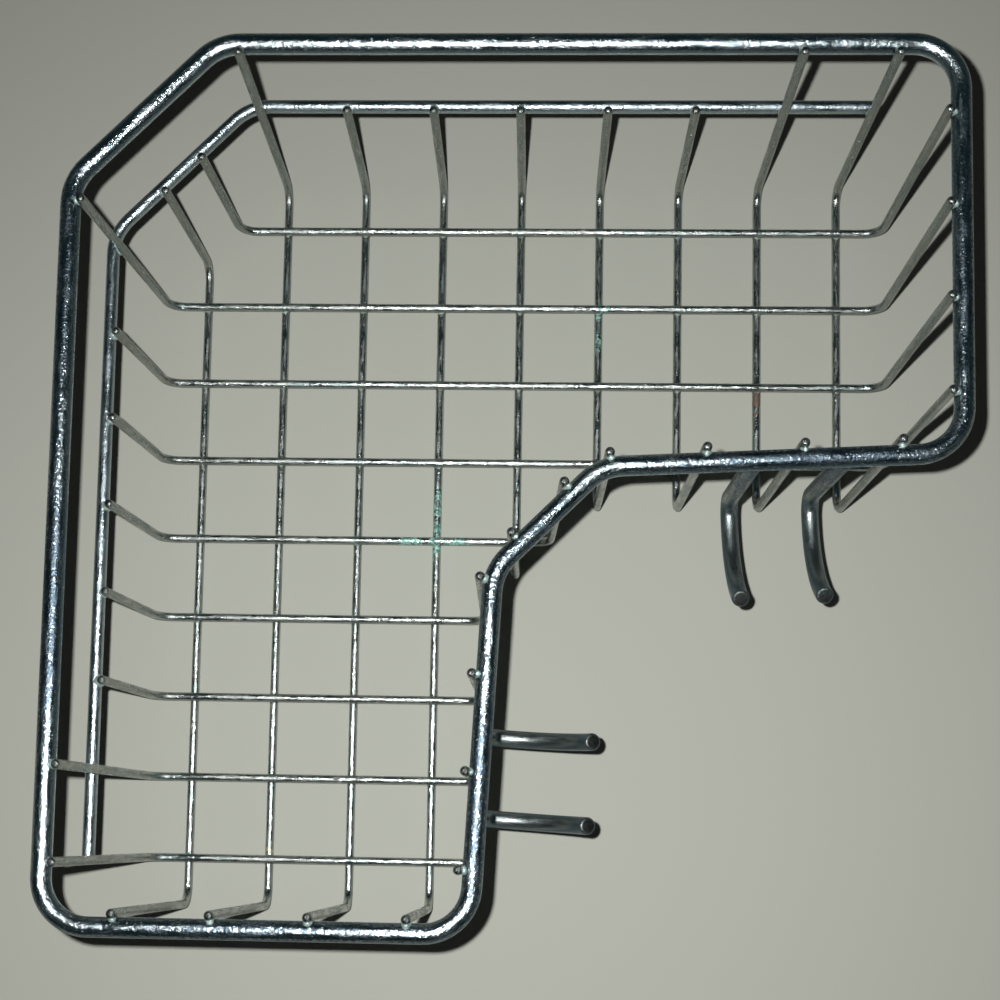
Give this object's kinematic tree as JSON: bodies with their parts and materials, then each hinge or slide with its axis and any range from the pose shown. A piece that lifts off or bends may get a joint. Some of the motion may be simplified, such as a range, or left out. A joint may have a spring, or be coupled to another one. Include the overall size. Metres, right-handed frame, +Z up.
{
  "type": "wire corner caddy",
  "caption": "L-shaped open wire basket for a wall corner, with a thick rim rod, a window between rim and rail along the walls, a grid floor and hooks on its inner edges.",
  "frame": {"origin": "on the table plane under the middle of the square that the rim fits in", "axes": "+Z up, +X along the back wall from the wall corner towards the right arm's end, +Y from the basket towards the back wall"},
  "size_m": [0.2506, 0.2506, 0.09],
  "materials": {
    "rim": "bright chrome plate over a mottled, lightly pitted rod",
    "rail": "bright chrome plate with pale green bloom at the welds",
    "wire": "chrome plate, worn, with green spots at some crossings",
    "hook": "duller chrome plate on thick rod"
  },
  "bodies": {
    "root": {"rim": "rim", "window_rail": "rail", "lower_wire_1": "wire", "lower_wire_2": "wire", "lower_wire_3": "wire", "lower_wire_4": "wire", "lower_wire_5": "wire", "lower_wire_6": "wire", "lower_wire_7": "wire", "lower_wire_8": "wire", "lower_wire_9": "wire", "upper_wire_1": "wire", "upper_wire_2": "wire", "upper_wire_3": "wire", "upper_wire_4": "wire", "upper_wire_5": "wire", "upper_wire_6": "wire", "upper_wire_7": "wire", "upper_wire_8": "wire", "upper_wire_9": "wire", "right_hook_1": "hook", "right_hook_2": "hook", "left_hook_1": "hook", "left_hook_2": "hook"}
  },
  "joints": []
}
